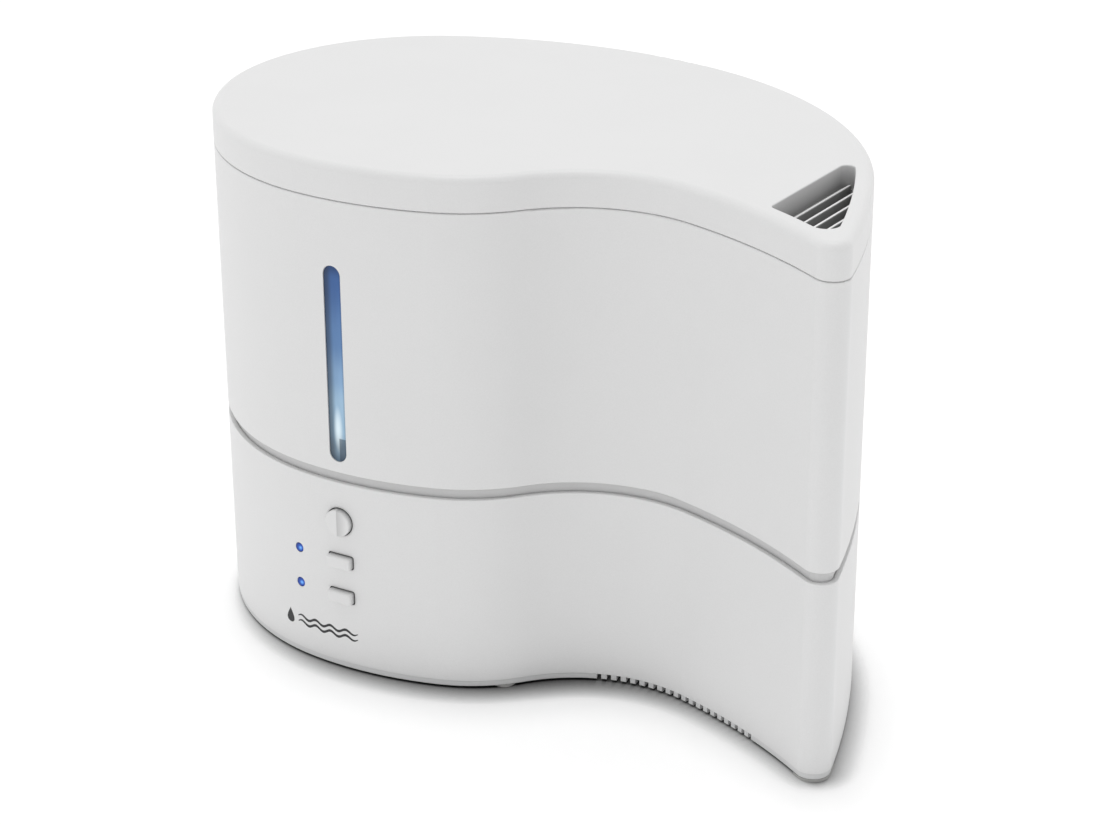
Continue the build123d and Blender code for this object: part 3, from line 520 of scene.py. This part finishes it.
made.update(
    window=window_material(),
    clear=clear_material(),
    ceramic=ceramic_material(),
    board=board_material(),
    winding=winding_material(),
)
slots = {part["node"]: part["material_slot"] for part in frame["record"]["subparts"]}
slots.update(
    base_housing="base", water_tray="tray", lid="lid", outlet_grille="grille", knob="dial"
)
for name, node in nodes.items():
    slot = slots[name]
    if slot == "indicator":
        lo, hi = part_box(name)
        middle = (lo + hi) / 2
        if name.startswith("indicator"):
            middle = Vector((middle.x, lo.y, middle.z))
        finish = indicator_material(name + "_lens", middle)
    else:
        finish = made[slot]
    node.data.materials.clear()
    node.data.materials.append(finish)


# ---------------------------------------------------------------- printed sign on the base

SIGN_HEIGHT = 0.0188
SIGN_LEFT, SIGN_RIGHT = -0.036, 0.0072
INK = 0.00005


def on_wall(across, height, proud=INK):
    """Point on the base's front wall at a place of the panel, standing proud of it."""
    start = PANEL + PANEL_RIGHT * across + PANEL_OUT * 0.02 + Vector((0, 0, height))
    hit, point, normal, _ = nodes["base_housing"].ray_cast(start, -PANEL_OUT)
    if not hit:
        raise RuntimeError(f"the sign misses the wall at {across}, {height}")
    return point + normal * proud


def printed(name, strips, finish):
    """Thin ink shapes: each strip is two rows of panel points, filled between them."""
    mesh = bmesh.new()
    for low_row, high_row in strips:
        faces = []
        rows = [[mesh.verts.new(on_wall(x, z)) for x, z in row] for row in (low_row, high_row)]
        under = [
            [mesh.verts.new(on_wall(x, z, 0.0)) for x, z in row] for row in (low_row, high_row)
        ]
        count = len(low_row)
        for i in range(count - 1):
            faces.append((rows[0][i], rows[0][i + 1], rows[1][i + 1], rows[1][i]))
            faces.append((under[0][i], under[1][i], under[1][i + 1], under[0][i + 1]))
            faces.append((rows[0][i], under[0][i], under[0][i + 1], rows[0][i + 1]))
            faces.append((rows[1][i], rows[1][i + 1], under[1][i + 1], under[1][i]))
        for i in (0, count - 1):
            faces.append((rows[0][i], rows[1][i], under[1][i], under[0][i]))
        for face in faces:
            mesh.faces.new(face)
    bmesh.ops.recalc_face_normals(mesh, faces=mesh.faces)
    data = bpy.data.meshes.new(name)
    mesh.to_mesh(data)
    mesh.free()
    data.materials.append(finish)
    piece = bpy.data.objects.new(name, data)
    scene.collection.objects.link(piece)
    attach(piece, "base")


def drop_strip(middle, low, high, half_width, steps=24):
    """A water drop standing on its round end."""
    left, right_side = [], []
    for i in range(steps + 1):
        angle = pi * (1 - i / steps)
        z = (low + high) / 2 + (high - low) / 2 * cos(angle)
        width = max(half_width * 1.3 * sin(angle) * sin(angle / 2) ** 1.5, 0.00003)
        left.append((middle - width, z))
        right_side.append((middle + width, z))
    return left, right_side


def wave_strip(start, end, height, swing, waves, thick, steps=72):
    """A wavy stroke of mist, thinner towards its ends."""
    low_row, high_row = [], []
    for i in range(steps + 1):
        share = i / steps
        x = start + (end - start) * share
        z = height + swing * sin(2 * pi * waves * share)
        half = thick / 2 * (0.35 + 0.65 * min(1.0, 8 * share, 8 * (1 - share)))
        low_row.append((x, z - half))
        high_row.append((x, z + half))
    return low_row, high_row


bpy.context.view_layer.update()
ink = moulded("printed_ink", srgb(38, 39, 41), 0.5, 0.0003, 0.08, 0.000006)
WAVE_STEP = 0.0029
strips = [drop_strip(SIGN_LEFT + 0.0026, SIGN_HEIGHT - 0.0038, SIGN_HEIGHT + 0.0038, 0.0026)]
for row in (-0.5, 0.5):
    strips.append(
        wave_strip(
            SIGN_LEFT + 0.0078, SIGN_RIGHT, SIGN_HEIGHT + row * WAVE_STEP, 0.0009, 4, 0.0013
        )
    )
printed("mist_sign", strips, ink)

# ---------------------------------------------------------------- floor and light

FLOOR_HALF = 8.0
floor_data = bpy.data.meshes.new("floor")
floor_data.from_pydata(
    [(x * FLOOR_HALF, y * FLOOR_HALF, 0) for x, y in ((-1, -1), (1, -1), (1, 1), (-1, 1))],
    [],
    [(0, 1, 2, 3)],
)
floor = bpy.data.objects.new("floor", floor_data)
scene.collection.objects.link(floor)
floor_finish, t = material("floor_paper")
# The occlusion leans to the back, so that the contact shadow lies to the front and right.
LEAN = radians(50)
SHADOW_REACH = 0.025
LEANING = Vector((-0.664 * sin(LEAN), 0.768 * sin(LEAN), cos(LEAN)))
lean = t.add("ShaderNodeCombineXYZ", X=LEANING.x, Y=LEANING.y, Z=LEANING.z).outputs[0]
contact = t.add("ShaderNodeAmbientOcclusion", samples=32, Distance=SHADOW_REACH, Normal=lean)
close = t.math("POWER", t.span(contact.outputs["AO"], 0.22, 0.72), 1.2)
t.surface(
    Base_Color=t.tint((0.90, 0.90, 0.90), close),
    Roughness=0.9,
    Specular_IOR_Level=0.1,
    Emission_Color=t.tint((1.0, 1.0, 1.0), close),
    Emission_Strength=0.16,
)
floor_data.materials.append(floor_finish)

world = bpy.data.worlds.new("studio")
scene.world = world
t = Tree(world)
toward = t.add("ShaderNodeTexCoord").outputs["Generated"]
DIM_SIDE = Vector((cos(radians(-48)), sin(radians(-48)), 0.05)).normalized()
dim = t.math("POWER", t.math("MAXIMUM", t.dot(toward, tuple(DIM_SIDE)), 0.0), 2.5)
side_light = t.math("MULTIPLY_ADD", dim, -0.50, 1.0)
FLANKS = ((26, 3.0, 0.22), (206, 4.0, 0.20))
for azimuth, power, loss in FLANKS:
    flank = (cos(radians(azimuth)), sin(radians(azimuth)), 0.0)
    lobe = t.math("POWER", t.math("MAXIMUM", t.dot(toward, flank), 0.0), power)
    side_light = t.math("SUBTRACT", side_light, t.math("MULTIPLY", lobe, loss))
height_light = t.span(t.dot(toward, (0, 0, 1)), 0.0, 0.8, 1.01, 0.87)
background = t.add(
    "ShaderNodeBackground", Color=(1, 1, 1), Strength=t.math("MULTIPLY", side_light, height_light)
)
end = t.add("ShaderNodeOutputWorld")
t.tree.links.new(background.outputs[0], end.inputs["Surface"])

# A high soft light, a little behind and to the left, lays the shadow out to the front.
key_data = bpy.data.lights.new("key", "SUN")
key_data.energy, key_data.angle = 0.66, radians(9)
key = bpy.data.objects.new("key", key_data)
scene.collection.objects.link(key)
KEY_TILT = radians(5.5)
falls = Vector((0.6 * sin(KEY_TILT), -0.8 * sin(KEY_TILT), -cos(KEY_TILT)))
key.rotation_mode = "QUATERNION"
key.rotation_quaternion = falls.to_track_quat("-Z", "Y")
